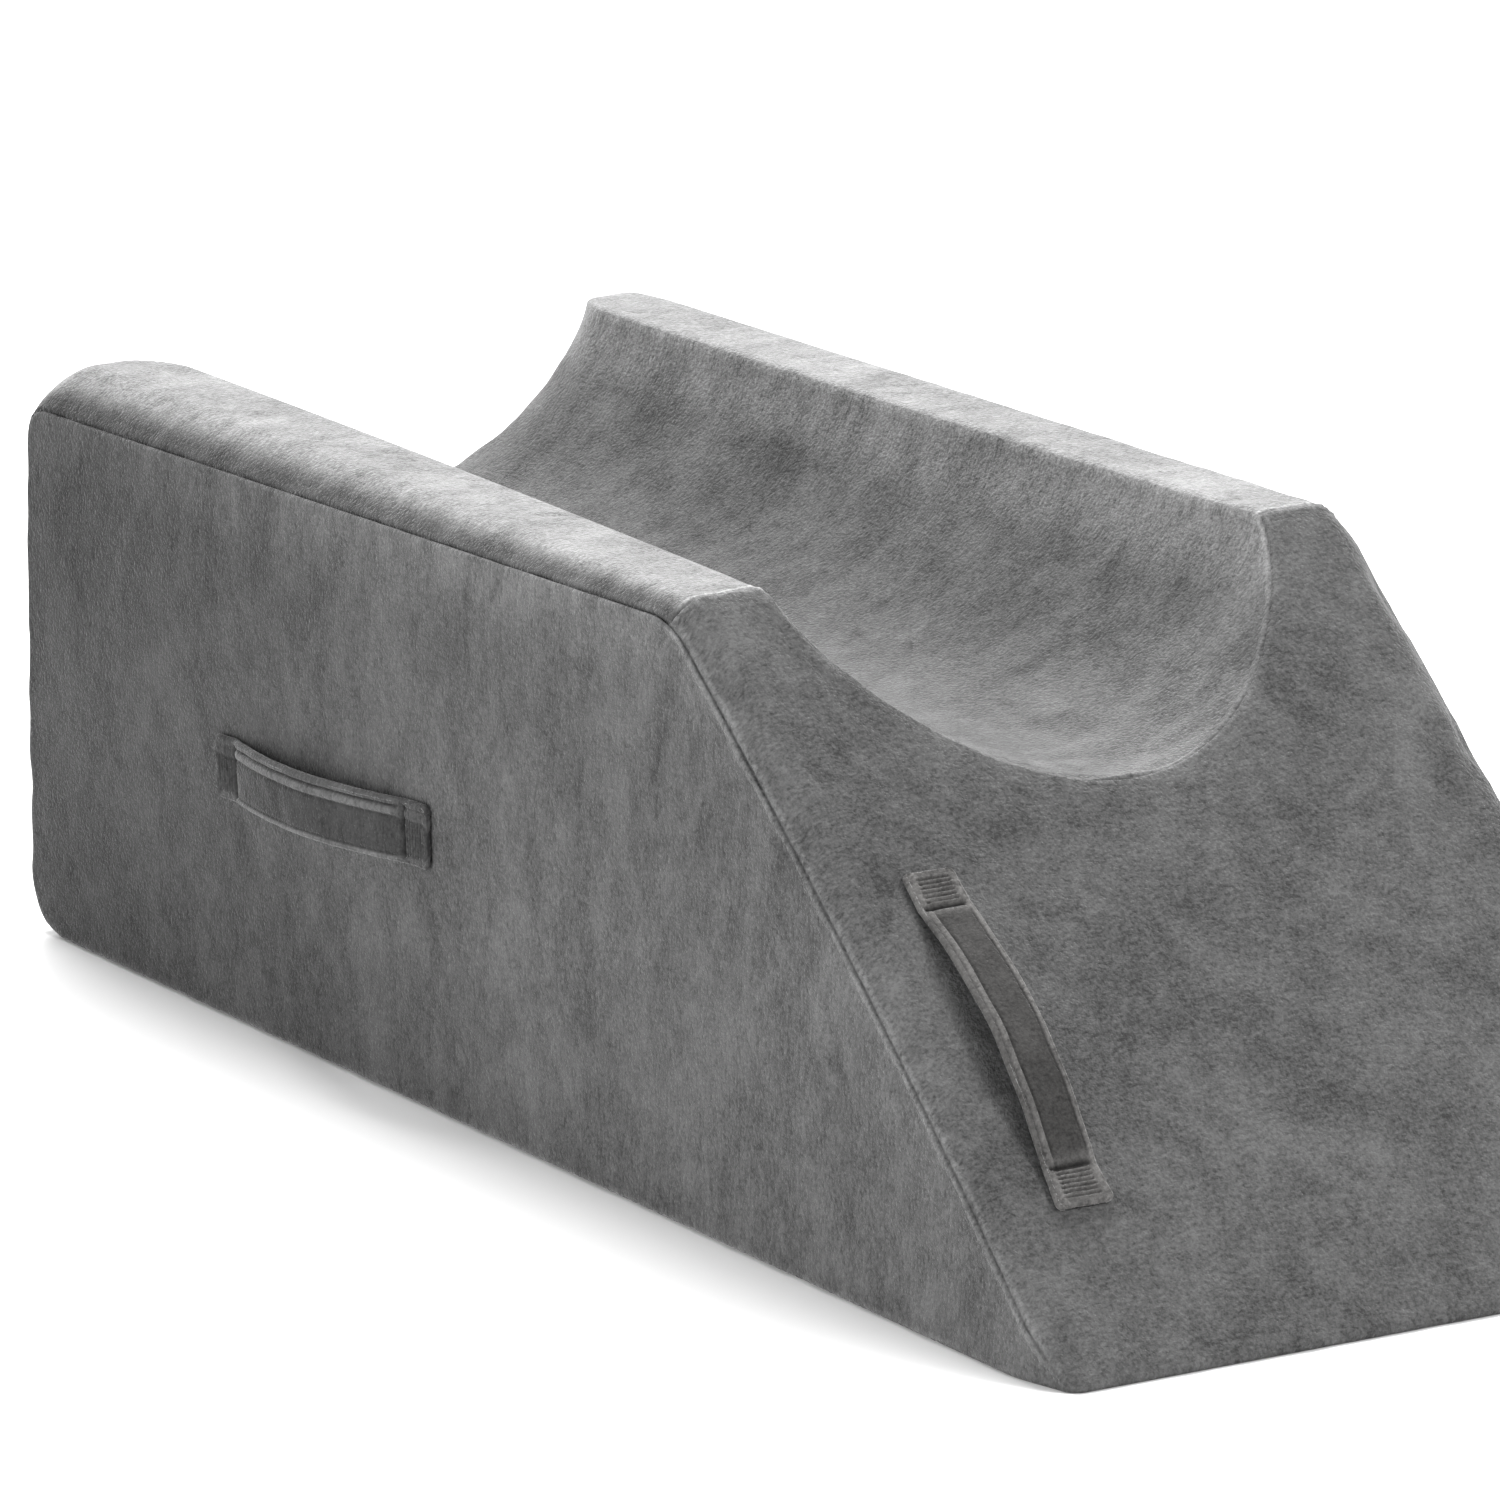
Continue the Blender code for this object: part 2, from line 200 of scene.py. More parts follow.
def cut_edge(points):
    """An edge as shares of its length and the points there, in x and z."""
    places = np.array([tuple(point) for point in points])
    steps = np.linalg.norm(np.diff(places, axis=0), axis=1)
    shares = np.concatenate([[0.0], np.cumsum(steps)]) / steps.sum()
    return shares, places


def on_edge(edge, share):
    """The place on an edge at a share of its length."""
    shares, places = edge
    return np.stack([np.interp(share, shares, places[:, k]) for k in (0, 1)], axis=-1)


ramp_top_x = -HALF_LENGTH + TOP_LENGTH
toe_x = ramp_top_x + RAMP_SEAM_RUN * (1.0 - BASE_LIFT / KNEE_SEAM_HEIGHT)
panel_corners = [
    (Vector((-HALF_LENGTH, BASE_LIFT)), FOOT_BOTTOM_RADIUS),
    (Vector((toe_x, BASE_LIFT)), TOE_RADIUS),
    (Vector((ramp_top_x, KNEE_SEAM_HEIGHT)), KNEE_TOP_RADIUS),
    (Vector((-HALF_LENGTH, FOOT_SEAM_HEIGHT)), FOOT_TOP_RADIUS),
]
panel_edges = []
for index in range(4):
    start, start_radius = panel_corners[index]
    end, end_radius = panel_corners[(index + 1) % 4]
    before = panel_corners[index - 1][0]
    after = panel_corners[(index + 2) % 4][0]
    first = half_arc(start, start_radius, end, before)
    last = half_arc(end, end_radius, start, after)
    panel_edges.append(cut_edge(first + last[::-1]))
base_edge, ramp_edge, top_edge, foot_edge = panel_edges
top_edge = cut_edge(top_edge[1][::-1])
foot_edge = cut_edge(foot_edge[1][::-1])
bow_shares = np.linspace(0.0, 1.0, BOW_STEPS + 1)
ramp_run = ramp_edge[1][-1] - ramp_edge[1][0]
ramp_out = np.array([ramp_run[1], -ramp_run[0]]) / np.linalg.norm(ramp_run)
bow = RAMP_SEAM_BOW * 4.0 * bow_shares * (1.0 - bow_shares)
ramp_edge = cut_edge(on_edge(ramp_edge, bow_shares) + bow[:, None] * ramp_out)


def coons(a, c, low, high, start, end):
    """Blends four edge curves into a patch; low and high run with a, start and end with c."""
    a, c = np.asarray(a), np.asarray(c)
    u, v = a[..., None], c[..., None]
    zero, one = np.zeros_like(a), np.ones_like(a)
    ruled = low(a) * (1 - v) + high(a) * v + start(c) * (1 - u) + end(c) * u
    corners = (low(zero) * (1 - u) + low(one) * u) * (1 - v)
    return ruled - corners - (high(zero) * (1 - u) + high(one) * u) * v


def seam_half_width(x, z):
    """Half width at the side seams, drawn in at the toe of the ramp."""
    near_toe = smooth_step((x - HALF_LENGTH + TOE_DRAW_LENGTH) / TOE_DRAW_LENGTH)
    low_down = 1.0 - smooth_step(z / TOE_DRAW_LENGTH)
    return HALF_WIDTH - SEAM_DRAW_IN * (1.0 - low_down) - TOE_DRAW_IN * near_toe * low_down


def wall_width(along):
    """Width of a wall's top, from its side seam to the channel's lip."""
    mouth = np.maximum(1.0 - along * TOP_LENGTH / MOUTH_LENGTH, 0.0)
    taper = FOOT_WALL_WIDTH + (KNEE_WALL_WIDTH - FOOT_WALL_WIDTH) * along ** WALL_TAPER
    return taper - MOUTH_FLARE * mouth ** 2


def top_height(inset, along):
    """Height above the side seam at a distance in from it; along is 0 at the foot end."""
    wall = wall_width(along)
    depth = FOOT_CHANNEL_DEPTH + (KNEE_CHANNEL_DEPTH - FOOT_CHANNEL_DEPTH) * along
    crown = FOOT_WALL_CROWN + (KNEE_WALL_CROWN - FOOT_WALL_CROWN) * along
    rolled = roll_up(inset, FOOT_ROLL + (KNEE_ROLL - FOOT_ROLL) * along)
    lip = crown - LIP_DROP
    across = (HALF_WIDTH - inset) / (HALF_WIDTH - wall)
    dip = (depth + lip) * np.maximum(1.0 - across * across, 0.0) ** CHANNEL_POWER
    channel = np.where(across >= 1.0, lip + (across - 1.0) * (HALF_WIDTH - wall), lip - dip)
    crest = crown * rolled
    overlap = np.maximum(LIP_BLEND - np.abs(crest - channel), 0.0) / LIP_BLEND
    drop = FOOT_DROP * np.maximum(1.0 - along * TOP_LENGTH / MOUTH_LENGTH, 0.0) ** 2
    return np.minimum(crest, channel) - (overlap * overlap * LIP_BLEND / 4 + drop) * rolled


def top_point(a, b):
    """Top panel with its walls and channel: a runs to the knee end, b across."""
    seam = on_edge(top_edge, a)
    share = (seam[..., 0] - top_edge[1][0, 0]) / (top_edge[1][-1, 0] - top_edge[1][0, 0])
    half = seam_half_width(seam[..., 0], seam[..., 1])
    wall = wall_width(share)
    from_side = np.minimum(b, 1.0 - b)
    outer = wall * from_side / LIP_SHARE
    inner = wall + (half - wall) * (from_side - LIP_SHARE) / (0.5 - LIP_SHARE)
    inset = np.where(from_side < LIP_SHARE, outer, inner)
    y = np.where(b < 0.5, inset - half, half - inset)
    rolled = roll_up(inset, KNEE_ROLL)
    rise = top_height(inset, np.ones_like(share))
    reach = (RAMP_CROWN * rolled - rise * math.cos(RAMP_ANGLE)) / math.sin(RAMP_ANGLE)
    foot_corner, knee_corner = (np.array(panel_corners[k][0]) for k in (3, 2))
    line = foot_corner + (knee_corner - foot_corner) * share[..., None]
    flat = seam + (line - seam) * (rolled * share)[..., None]
    height = top_height(inset, share)
    return np.stack([flat[..., 0] + reach * share, y, flat[..., 1] + height], axis=-1)


def base_point(a, b):
    """Base panel: flat on the floor, curling up to the seams round it."""
    seam = on_edge(base_edge, a)
    half = seam_half_width(seam[..., 0], seam[..., 1])
    inset = half - np.abs(2.0 * b - 1.0) * half
    curl = BASE_LIFT * np.maximum(1.0 - inset / (2.0 * BASE_LIFT), 0.0) ** 2
    stretch = (HALF_LENGTH - base_edge[1][-1, 0]) * roll_up(inset, TOE_ROLL) * a ** TOE_POWER
    height = seam[..., 1] - BASE_LIFT + curl
    return np.stack([seam[..., 0] + stretch, (2.0 * b - 1.0) * half, height], axis=-1)


def end_point(b, c, edge, a):
    """Foot panel or ramp, stretched between its four edges: b runs across, c upwards."""
    def side_seam(share, sign):
        seam = on_edge(edge, share)
        half = sign * seam_half_width(seam[..., 0], seam[..., 1])
        return np.stack([seam[..., 0], half, seam[..., 1]], axis=-1)

    return coons(
        b,
        c,
        lambda s: base_point(np.full_like(s, a), s),
        lambda s: top_point(np.full_like(s, a), s),
        lambda s: side_seam(s, -1.0),
        lambda s: side_seam(s, 1.0),
    )


def side_panel_point(a, b, c):
    """Side panel, standing a little proud of the seams round it."""
    flat = coons(
        a,
        c,
        lambda s: on_edge(base_edge, s),
        lambda s: on_edge(top_edge, s),
        lambda s: on_edge(foot_edge, s),
        lambda s: on_edge(ramp_edge, s),
    )
    half = seam_half_width(flat[..., 0], flat[..., 1]) + SIDE_CROWN * puff(a) * puff(c)
    return np.stack([flat[..., 0], np.where(b >= 0.5, half, -half), flat[..., 1]], axis=-1)


def cover_points(shares):
    """Places on the stuffed cover for points on the faces of the unit cube."""
    a, b, c = shares.T
    places = np.empty_like(shares)
    base = c <= 0.0
    top = c >= 1.0
    foot = ~base & ~top & (a <= 0.0)
    ramp = ~base & ~top & (a >= 1.0)
    side = ~(base | top | foot | ramp)
    places[base] = base_point(a[base], b[base])
    places[top] = top_point(a[top], b[top])
    places[foot] = end_point(b[foot], c[foot], foot_edge, 0.0)
    places[foot, 0] -= FOOT_CROWN * puff(b[foot]) * puff(c[foot])
    places[ramp] = end_point(b[ramp], c[ramp], ramp_edge, 1.0)
    places[side] = side_panel_point(a[side], b[side], c[side])
    return places


def gridded_cube(counts):
    """A unit cube from the primitive, cut into steps along x, y and z."""
    mesh = bmesh.new()
    bmesh.ops.create_cube(mesh, size=1.0)
    bmesh.ops.translate(mesh, verts=mesh.verts, vec=(0.5, 0.5, 0.5))
    for axis, count in enumerate(counts):
        along = [
            e for e in mesh.edges if abs((e.verts[0].co - e.verts[1].co)[axis]) > 1e-6
        ]
        bmesh.ops.subdivide_edges(mesh, edges=along, cuts=count - 1, use_grid_fill=True)
    return mesh


def stepped_shares(rows, mesh):
    """The shares a, b and c of each point of a gridded cube, from the rows along its axes."""
    cube = np.array([tuple(vert.co) for vert in mesh.verts])
    counts = np.array([len(row) - 1 for row in rows])
    steps = np.rint(cube * counts).astype(int)
    return np.stack([np.array(row)[steps[:, k]] for k, row in enumerate(rows)], axis=1), steps


def crowded_row(length, close, spacing):
    """Shares along an edge: close steps beside the seam at each end, even ones between."""
    inner = length - 2 * close[-1]
    count = max(round(inner / spacing), 1)
    middle = [close[-1] + inner * i / count for i in range(count + 1)]
    row = list(close[:-1]) + middle + [length - step for step in close[-2::-1]]
    return [step / length for step in row]


def width_row(wall_steps, channel_steps):
    """Shares across the cover, with steps beside each seam and each channel lip."""
    half = [LIP_SHARE * step for step in wall_steps]
    half += [LIP_SHARE + (0.5 - LIP_SHARE) * step for step in channel_steps[1:]]
    return half + [1.0 - share for share in half[-2::-1]]


def row_set(seam_steps, spacing, wall_steps, channel_steps):
    """The shares at which the cover is cut along its length, its width and its height."""
    return [
        crowded_row(LENGTH, seam_steps, spacing),
        width_row(wall_steps, channel_steps),
        crowded_row(KNEE_SEAM_HEIGHT, seam_steps, spacing),
    ]


def mesh_object(mesh, name, material, nap_and_painted_light=None):
    """An object at the origin; the optional list is painted light and shade, a factor on its
    colour at each point.
    """
    bmesh.ops.recalc_face_normals(mesh, faces=mesh.faces)
    data = bpy.data.meshes.new(name)
    mesh.to_mesh(data)
    mesh.free()
    data.materials.append(material)
    data.shade_smooth()
    if nap_and_painted_light is not None:
        data.attributes.new("nap_and_painted_light", "FLOAT", "POINT").data.foreach_set("value", nap_and_painted_light)
    piece = bpy.data.objects.new(name, data)
    bpy.context.scene.collection.objects.link(piece)
    return piece


# The pile: short brushed plush, of which soft patches and streaks lie darker or lighter. It
# is rough all over, with a sheen where it is seen or lit at a low angle.
PLUSH_DARK = (0.0355, 0.0355, 0.0355, 1.0)
PLUSH_LIGHT = (0.119, 0.119, 0.119, 1.0)
PLUSH_ROUGHNESS = 0.92
PLUSH_SPECULAR = 0.12
PLUSH_SHEEN = 0.35
PLUSH_SHEEN_ROUGHNESS = 0.22
PLUSH_GRAIN_DEPTH = 0.0008
PILE_GRAIN = (850.0, 850.0, 850.0)  # per metre, along x, y and z
STREAKS = (1000.0, 330.0, 260.0)
PATCHES = (32.0, 26.0, 16.0)
TUFTS = (120.0, 100.0, 70.0)
GRAIN_SHARE = 0.30
STREAK_SHARE = 0.28
PATCH_SHARE = 0.23
TUFT_SHARE = 0.19
DARK_BELOW = 0.40
LIGHT_ABOVE = 0.60
NAP_STRENGTH = 0.4
NAP_DEPTH = 0.0006


def plush_material(name, dark, light, sheen, grain_depth):
    """Brushed plush: patches and streaks in the colour, scaled by painted light and shade from
    a mesh attribute, pile grain in the bump.
    """
    material = bpy.data.materials.new(name)
    material.use_nodes = True
    nodes, links = material.node_tree.nodes, material.node_tree.links
    shader = nodes["Principled BSDF"]
    shader.inputs["Roughness"].default_value = PLUSH_ROUGHNESS
    shader.inputs["Specular IOR Level"].default_value = PLUSH_SPECULAR
    shader.inputs["Sheen Weight"].default_value = sheen
    shader.inputs["Sheen Roughness"].default_value = PLUSH_SHEEN_ROUGHNESS
    shader.inputs["Sheen Tint"].default_value = (1.0, 1.0, 1.0, 1.0)
    place = nodes.new("ShaderNodeTexCoord")

    def cloudy(scale, detail, roughness, distortion=0.0, offset=(0.0, 0.0, 0.0)):
        """Soft noise with so many clouds a metre along each axis."""
        spread = nodes.new("ShaderNodeMapping")
        spread.inputs["Scale"].default_value = scale
        spread.inputs["Location"].default_value = offset
        links.new(place.outputs["Object"], spread.inputs["Vector"])
        cloud = nodes.new("ShaderNodeTexNoise")
        cloud.inputs["Scale"].default_value = 1.0
        cloud.inputs["Detail"].default_value = detail
        cloud.inputs["Roughness"].default_value = roughness
        cloud.inputs["Distortion"].default_value = distortion
        links.new(spread.outputs["Vector"], cloud.inputs["Vector"])
        return cloud.outputs["Fac"]

    def blended(kind, one, other):
        """A sum or product of two sockets, or of a socket and a number."""
        math_node = nodes.new("ShaderNodeMath")
        math_node.operation = kind
        for socket, value in zip(math_node.inputs, (one, other)):
            if isinstance(value, float):
                socket.default_value = value
            else:
                links.new(value, socket)
        return math_node.outputs["Value"]

    patches = cloudy(PATCHES, detail=4.0, roughness=0.55, distortion=0.6)
    streaks = cloudy(STREAKS, detail=3.0, roughness=0.7, distortion=0.2, offset=(3.0, 7.0, 1.0))
    grain = cloudy(PILE_GRAIN, detail=2.0, roughness=0.7)
    tufts = cloudy(TUFTS, detail=4.0, roughness=0.6, distortion=0.4, offset=(5.0, 2.0, 9.0))
    mottle = blended("MULTIPLY", streaks, STREAK_SHARE)
    for clouds, share in ((patches, PATCH_SHARE), (tufts, TUFT_SHARE), (grain, GRAIN_SHARE)):
        mottle = blended("ADD", mottle, blended("MULTIPLY", clouds, share))
    dye = nodes.new("ShaderNodeValToRGB")
    dye.color_ramp.elements[0].position = DARK_BELOW
    dye.color_ramp.elements[0].color = dark
    dye.color_ramp.elements[1].position = LIGHT_ABOVE
    dye.color_ramp.elements[1].color = light
    links.new(mottle, dye.inputs["Fac"])
    # Painted light and shade: the dye is scaled at each point by an attribute set on the mesh,
    # lighter where light falls and darker in shade.
    painted_light_attribute = nodes.new("ShaderNodeAttribute")
    painted_light_attribute.attribute_name = "nap_and_painted_light"
    dye_with_painted_light = nodes.new("ShaderNodeVectorMath")
    dye_with_painted_light.operation = "SCALE"
    links.new(dye.outputs["Color"], dye_with_painted_light.inputs["Vector"])
    links.new(painted_light_attribute.outputs["Fac"], dye_with_painted_light.inputs["Scale"])
    links.new(dye_with_painted_light.outputs["Vector"], shader.inputs["Base Color"])

    # A bump of the nap's streaks and tufts, under the pile grain's bump.
    nap_and_painted_light = nodes.new("ShaderNodeBump")
    nap_and_painted_light.inputs["Strength"].default_value = NAP_STRENGTH
    nap_and_painted_light.inputs["Distance"].default_value = NAP_DEPTH
    links.new(blended("ADD", streaks, tufts), nap_and_painted_light.inputs["Height"])
    pile = nodes.new("ShaderNodeBump")
    pile.inputs["Strength"].default_value = 1.0
    pile.inputs["Distance"].default_value = grain_depth
    links.new(grain, pile.inputs["Height"])
    links.new(nap_and_painted_light.outputs["Normal"], pile.inputs["Normal"])
    links.new(pile.outputs["Normal"], shader.inputs["Normal"])
    return material


# Stuffing: the foam presses the cover's panels out between their seams. A cloth simulation
# whose seams are held gives this, and the cover keeps up to about a millimetre of it.
PANEL_GIVE = 0.0012
GIVE_SPACING = 0.0075
GIVE_SEAM_STEPS = (0.0, 0.003, 0.008)
GIVE_WALL_STEPS = (0.0, 0.08, 0.2, 0.38, 0.6, 0.82, 1.0)
GIVE_CHANNEL_STEPS = (0.0, 0.06, 0.14, 0.24, 0.36, 0.5, 0.66, 0.83, 1.0)
GIVE_FRAMES = 20
SLACK = -0.0015
PANEL_HOLD = 0.3

give_rows = row_set(GIVE_SEAM_STEPS, GIVE_SPACING, GIVE_WALL_STEPS, GIVE_CHANNEL_STEPS)


def blown_up_give():
    """How far each point of the coarse cover moves, on the steps of its cube."""
    counts = [len(row) - 1 for row in give_rows]
    mesh = gridded_cube(counts)
    shares, steps = stepped_shares(give_rows, mesh)
    places = cover_points(shares)
    for vert, place in zip(mesh.verts, places):
        vert.co = place
    give = np.zeros([count + 1 for count in counts] + [3])
    blank = bpy.data.materials.new("blank")
    blown = mesh_object(mesh, "blown_cover", blank)
    held = blown.vertex_groups.new(name="held")
    on_seam = ((steps == 0) | (steps == counts)).sum(axis=1) >= 2
    under = shares[:, 2] <= 0.0
    for index in range(len(shares)):
        hold = 1.0 if on_seam[index] or under[index] else PANEL_HOLD
        held.add([index], hold, "REPLACE")
    cloth = blown.modifiers.new("cloth", "CLOTH")
    cloth.settings.quality = 6
    cloth.settings.mass = 0.15
    cloth.settings.tension_stiffness = 20.0
    cloth.settings.compression_stiffness = 20.0
    cloth.settings.shear_stiffness = 8.0
    cloth.settings.bending_stiffness = 0.4
    cloth.settings.vertex_group_mass = "held"
    cloth.settings.pin_stiffness = 1.0
    cloth.settings.shrink_min = SLACK
    cloth.settings.use_pressure = True
    cloth.settings.uniform_pressure_force = 0.6
    cloth.settings.effector_weights.gravity = 0.0
    cloth.collision_settings.use_collision = False
    cloth.point_cache.frame_start = 1
    cloth.point_cache.frame_end = GIVE_FRAMES
    for step in range(1, GIVE_FRAMES + 1):
        bpy.context.scene.frame_set(step)
    settled = blown.evaluated_get(bpy.context.evaluated_depsgraph_get())
    moved = np.empty(len(shares) * 3)
    settled.data.vertices.foreach_get("co", moved)
    moved = moved.reshape(-1, 3) - places
    far = np.linalg.norm(moved, axis=1, keepdims=True)
    moved *= np.minimum(PANEL_GIVE / np.maximum(far, 1e-9), 1.0)
    give[tuple(steps.T)] = moved
    bpy.context.scene.frame_set(1)
    bpy.data.objects.remove(blown, do_unlink=True)
    bpy.data.materials.remove(blank)
    return give


def eased(grid, index, axis):
    """Smooth (Catmull-Rom) values of a grid at fractional steps along one of its axes."""
    low = np.clip(np.floor(index).astype(int), 0, grid.shape[axis] - 2)
    part = index - low
    picks = [np.clip(low + k, 0, grid.shape[axis] - 1) for k in (-1, 0, 1, 2)]
    weights = (
        -0.5 * part + part ** 2 - 0.5 * part ** 3,
        1.0 - 2.5 * part ** 2 + 1.5 * part ** 3,
        0.5 * part + 2.0 * part ** 2 - 1.5 * part ** 3,
        -0.5 * part ** 2 + 0.5 * part ** 3,
    )
    shape = [1] * grid.ndim
    shape[axis] = len(index)
    return sum(np.take(grid, p, axis=axis) * w.reshape(shape) for p, w in zip(picks, weights))


# Sewing: the twelve seams draw the pile into a fine groove between two soft lips, and the
# cloth beside them puckers a little.
COVER_SPACING = 0.0031
SEAM_STEPS = (0.0, 0.0004, 0.0009, 0.0016, 0.0025, 0.0038, 0.0055)
WALL_STEPS = (
    0.0, 0.013, 0.029, 0.05, 0.078, 0.115, 0.16, 0.21, 0.265, 0.325, 0.39, 0.46, 0.53, 0.6,
    0.67, 0.74, 0.8, 0.85, 0.89, 0.925, 0.95, 0.975, 1.0,
)
CHANNEL_STEPS = (
    0.0, 0.01, 0.022, 0.037, 0.055, 0.077, 0.102, 0.13, 0.16, 0.193, 0.228, 0.265, 0.304,
    0.345, 0.388, 0.433, 0.48, 0.528, 0.577, 0.628, 0.68, 0.733, 0.786, 0.84, 0.893, 0.947,
    1.0,
)
SEAM_GROOVE = 0.0009
GROOVE_WIDTH = 0.00034
SEAM_LIP = 0.0006
LIP_OUT = 0.0013
LIP_WIDTH = 0.0009
STITCH_PITCH = 0.0031
PUCKER = 0.00045
PUCKER_REACH = 0.006
PUCKER_SCALE = 110.0  # per metre along a seam
PUCKER_SPREAD = 30.0  # per metre away from it
PUCKER_START = 0.0012
DIMPLE = 0.0006
DIMPLE_REACH = 0.014
DIMPLE_SCALE = 75.0
PULL_CHANGE = 0.45
PULL_SCALE = 130.0
PULL_SEED = 5.0
SEED_STEP = 1.7
SEAM_REACH = 0.03
SEAM_SAMPLE = 0.0008
TOE_SLOPE = 0.25
TOE_PLAIN = 0.004
TOE_BLEND = 0.012
TOE_LEAST = 0.15

cover_rows = row_set(SEAM_STEPS, COVER_SPACING, WALL_STEPS, CHANNEL_STEPS)
cover_mesh = gridded_cube([len(row) - 1 for row in cover_rows])
cover_shares, cover_steps = stepped_shares(cover_rows, cover_mesh)
cover_places = cover_points(cover_shares)

give = blown_up_give()
fractions = [
    np.interp(row, give_row, np.arange(len(give_row)))
    for row, give_row in zip(cover_rows, give_rows)
]
for axis, fraction in enumerate(fractions):
    give = eased(give, fraction, axis)
cover_places = cover_places + give[tuple(cover_steps.T)]
for vert, place in zip(cover_mesh.verts, cover_places):
    vert.co = place
bmesh.ops.recalc_face_normals(cover_mesh, faces=cover_mesh.faces)
cover_mesh.normal_update()

# A seam's key is the axis of the cube that it follows and the end, 0 or 1, at which it lies
# on each of the other two. Its points are kept by that key, in order along it.
last_step = np.array([len(row) - 1 for row in cover_rows])
ends = (cover_steps == 0) | (cover_steps == last_step)
seam_lines = {}
for index in np.nonzero(ends.sum(axis=1) >= 2)[0]:
    for axis in range(3):
        others = [k for k in range(3) if k != axis]
        if ends[index, others].all():
            key = (axis,) + tuple(int(cover_steps[index, k] > 0) for k in others)
            seam_lines.setdefault(key, []).append((cover_steps[index, axis], index))

seam_places = []
seam_runs = []
for key in sorted(seam_lines):
    line = np.array([cover_places[index] for step, index in sorted(seam_lines[key])])
    gaps = np.linalg.norm(np.diff(line, axis=0), axis=1)
    run = np.concatenate([[0.0], np.cumsum(gaps)])
    samples = np.arange(0.0, run[-1], SEAM_SAMPLE)
    places = np.stack([np.interp(samples, run, line[:, k]) for k in range(3)], axis=1)
    headings = np.gradient(places, axis=0)
    headings /= np.linalg.norm(headings, axis=1, keepdims=True)
    seam_places += list(places)
    seam_runs += [(key, along, Vector(way)) for along, way in zip(samples, headings)]
seam_tree = kdtree.KDTree(len(seam_places))
for index, place in enumerate(seam_places):
    seam_tree.insert(Vector(place), index)
seam_tree.balance()

# Painted light and shade, a factor on the colour at each point: lighter along the tops of the
# walls, where the light falls on them, and painted shade on the sides, most so at the foot end,
# and on the roll just above a side seam. The lips of the seams carry a painted highlight and
# their grooves painted shade. A band is where one level goes over into the next.
# Painted shade towards the foot end, rising to the plain level over the band.
FOOT_END_PAINTED_SHADE = 0.62
SIDE_PAINTED_LEVEL = 1.0
FOOT_BAND = (0.0, 0.65)  # shares of the length, from the foot end
# Painted light low on the sides and painted shade high up.
LOW_SIDE_PAINTED_LIGHT = 1.04
HIGH_SIDE_PAINTED_SHADE = 0.91
HIGH_BAND = (0.40, 0.75)  # shares of a side's height
# Painted highlight along the top of each side, just below its seam.
SIDE_TOP_PAINTED_HIGHLIGHT = 0.31
SIDE_TOP_HIGHLIGHT_BAND = (0.84, 0.97)
# Painted shade on the roll just above a side seam.
ROLL_PAINTED_SHADE = 0.80
# Painted light along the tops of the walls.
TOP_PAINTED_LIGHT = 2.5
TOP_BAND = (0.05, 0.24)  # shares of a wall's width, from its side seam
# Painted light in the channel, at least this much.
CHANNEL_PAINTED_LIGHT = 1.35
CHANNEL_BAND = (1.0, 1.5)
# The ramp stays at the plain level, with no painted light or shade of its own.
RAMP_PAINTED_LEVEL = 1.0
# Painted shade in the seams' grooves and a painted highlight on their lips.
GROOVE_PAINTED_SHADE = 0.6
LIP_PAINTED_HIGHLIGHT = 0.5
# How deep the groove, how high the lips and how strong their painted highlight: top side seams,
# ramp seams, fold, the rest.
SIDE_SEAM = (1.0, 0.3, 0.25)
RAMP_SEAM = (0.42, 1.0, 1.0)
FOLD_SEAM = (0.3, 0.9, 1.5)
OTHER_SEAM = (0.6, 0.7, 0.9)
FOLD = (1, 1, 1)  # the seam across the top of the ramp
# The fold's painted highlight is weaker where it crosses the channel.
CHANNEL_FOLD_HIGHLIGHT = 0.35
STITCH_LIP = (0.5, 1.0)  # at the gap between two stitches, and what a stitch adds
# The fold's painted highlight at the gap between two stitches, and what a stitch adds.
STITCH_HIGHLIGHT = (0.3, 1.4)


def over_band(value, band):
    """0 before a band, 1 past it, and eased between its two ends."""
    return smooth_step((value - band[0]) / (band[1] - band[0]))


def seam_look(key):
    """How deep the groove of a seam is, how high its lips and how strong the painted highlight
    on them.
    """
    if key[0] == 0 and key[2] == 1:
        return SIDE_SEAM
    if key[0] == 2 and key[1] == 1:
        return RAMP_SEAM
    if key == FOLD:
        return FOLD_SEAM
    return OTHER_SEAM


def toe_pull(place):
    """Less pull low down at the toe, where the base and the ramp meet in a thin edge."""
    above_toe = place.z + TOE_SLOPE * (HALF_LENGTH - place.x) - TOE_PLAIN
    return min(max(above_toe / TOE_BLEND, TOE_LEAST), 1.0)


foot_to_knee, across, base_to_top = cover_shares.T
from_side = np.minimum(across, 1.0 - across) / LIP_SHARE
on_top = base_to_top >= 1.0
on_side = from_side <= 0.0
in_channel = on_top & (from_side > 1.0)
on_ramp = ~on_top & (foot_to_knee >= 1.0)
# Painted light and shade by region, as a factor on the colour.
cover_painted_light = FOOT_END_PAINTED_SHADE + (SIDE_PAINTED_LEVEL - FOOT_END_PAINTED_SHADE) * over_band(foot_to_knee, FOOT_BAND)
side_height = base_to_top[on_side]
cover_painted_light[on_side] *= LOW_SIDE_PAINTED_LIGHT + (HIGH_SIDE_PAINTED_SHADE - LOW_SIDE_PAINTED_LIGHT) * over_band(side_height, HIGH_BAND)
cover_painted_light[on_side] *= 1.0 + SIDE_TOP_PAINTED_HIGHLIGHT * over_band(side_height, SIDE_TOP_HIGHLIGHT_BAND)
cover_painted_light[on_top & ~on_side] *= ROLL_PAINTED_SHADE
